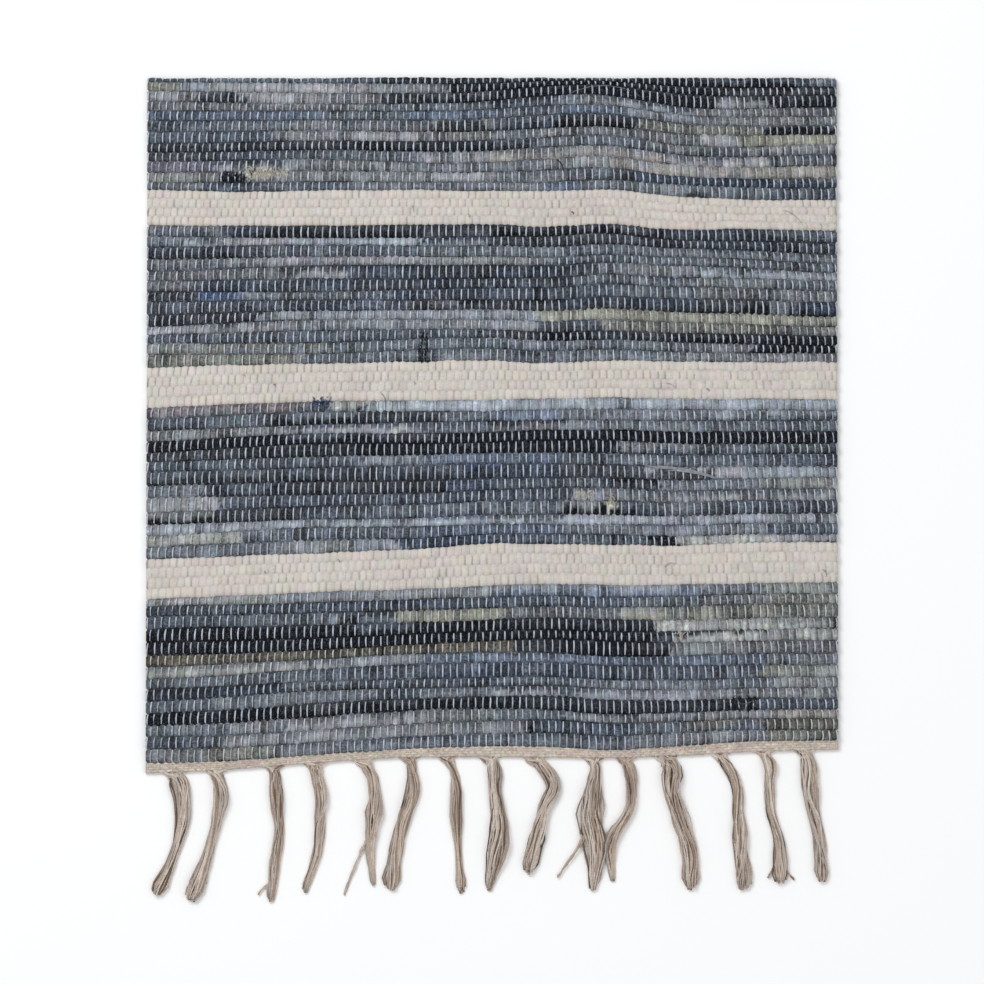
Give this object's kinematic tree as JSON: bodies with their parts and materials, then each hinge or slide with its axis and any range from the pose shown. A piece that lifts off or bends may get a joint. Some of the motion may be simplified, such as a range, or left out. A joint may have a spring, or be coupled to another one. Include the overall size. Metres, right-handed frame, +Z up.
{
  "type": "rag rug",
  "caption": "Flat woven rag rug of denim and white cloth strips on a cotton warp, with a cotton heading and a tasselled fringe along one end.",
  "frame": {"origin": "on the underside, at the middle of the whole rug's box, fringe included", "axes": "+Z up, out of the face that shows; +Y from the fringe to the far end, along the warp; +X across, along the rag rows"},
  "size_m": [0.6, 0.731, 0.0076],
  "materials": {
    "denim_rag": "worn recycled denim strips, matt, frayed edges",
    "white_rag": "off-white cotton cloth strips, matt",
    "warp_cotton": "undyed plied cotton yarn, matt",
    "cotton_heading": "undyed cotton weft, closely beaten, matt"
  },
  "bodies": {
    "root": {"rug_body": "denim_rag", "heading": "cotton_heading", "fringe": "warp_cotton"}
  },
  "joints": []
}
